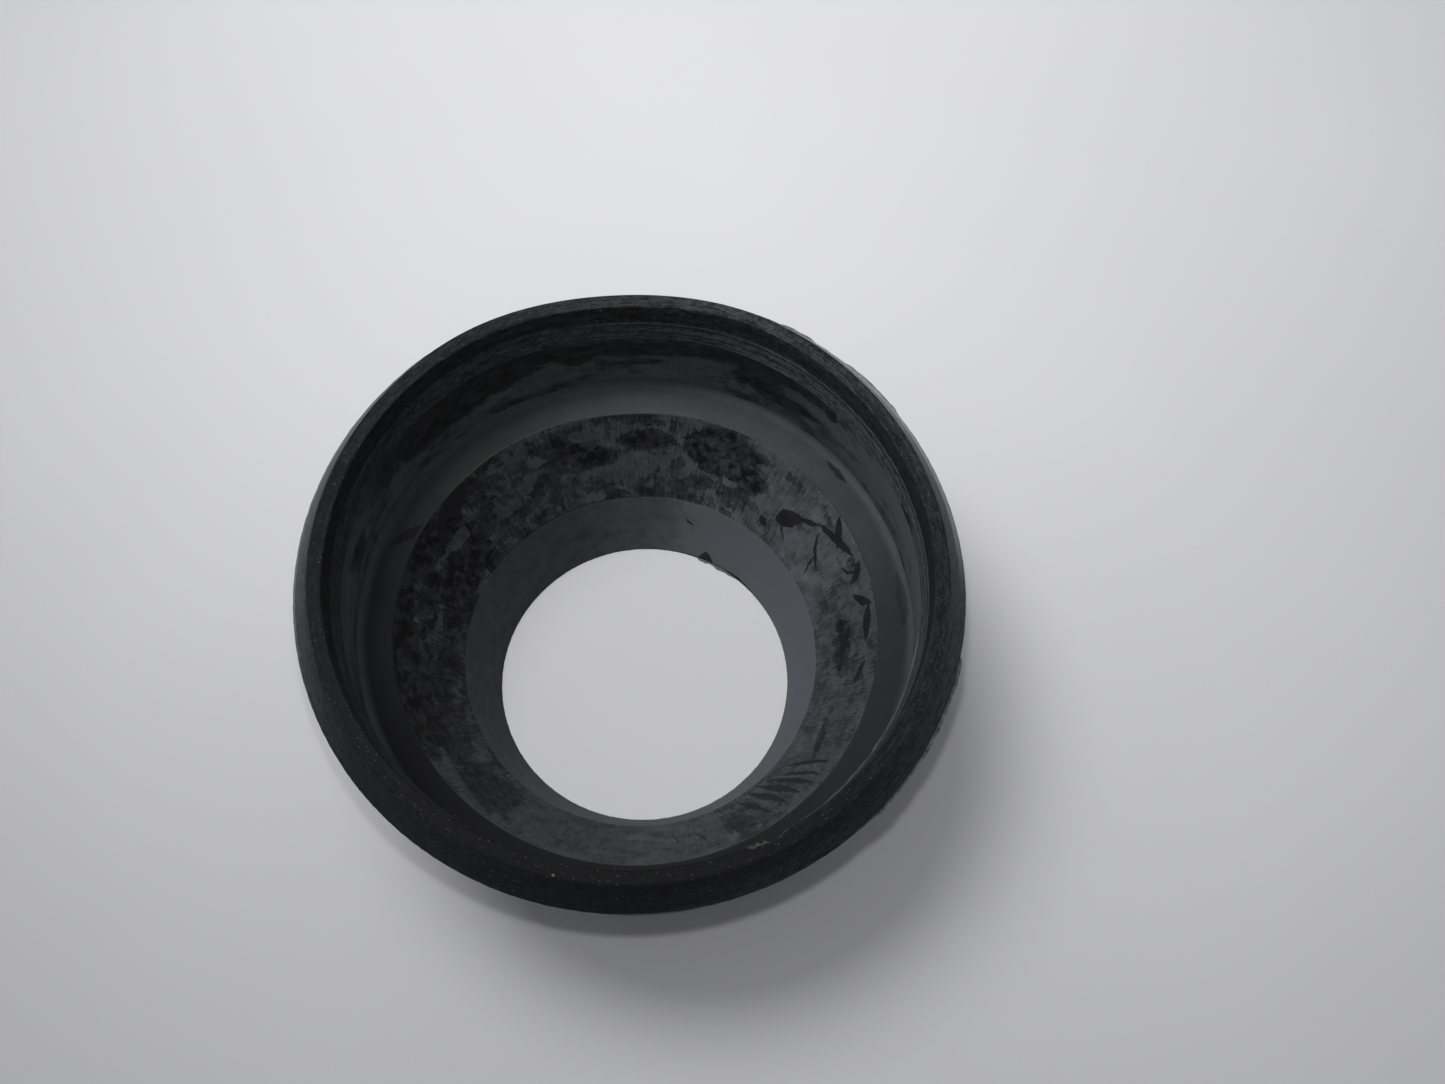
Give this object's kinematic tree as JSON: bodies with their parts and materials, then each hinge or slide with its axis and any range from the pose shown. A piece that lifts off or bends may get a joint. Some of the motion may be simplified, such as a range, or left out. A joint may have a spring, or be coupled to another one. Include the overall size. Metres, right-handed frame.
{
  "type": "buchner funnel rubber adapter",
  "caption": "Black rubber adapter ring for a Buchner funnel: lipped cup with a flat seat ledge, a conical seat and a tapered through throat.",
  "frame": {"origin": "centre of the base face, on the surface that the adapter stands on", "axes": "+Z is the axis of revolution, from the base up to the wide mouth; X and Y are equal"},
  "size_m": [0.095, 0.095, 0.0485],
  "materials": {
    "bloomed_rubber": "moulded black rubber with a patchy grey bloom, dull outside and slightly glossy where rubbed"
  },
  "bodies": {
    "root": {"rubber_adapter": "bloomed_rubber"}
  },
  "joints": []
}
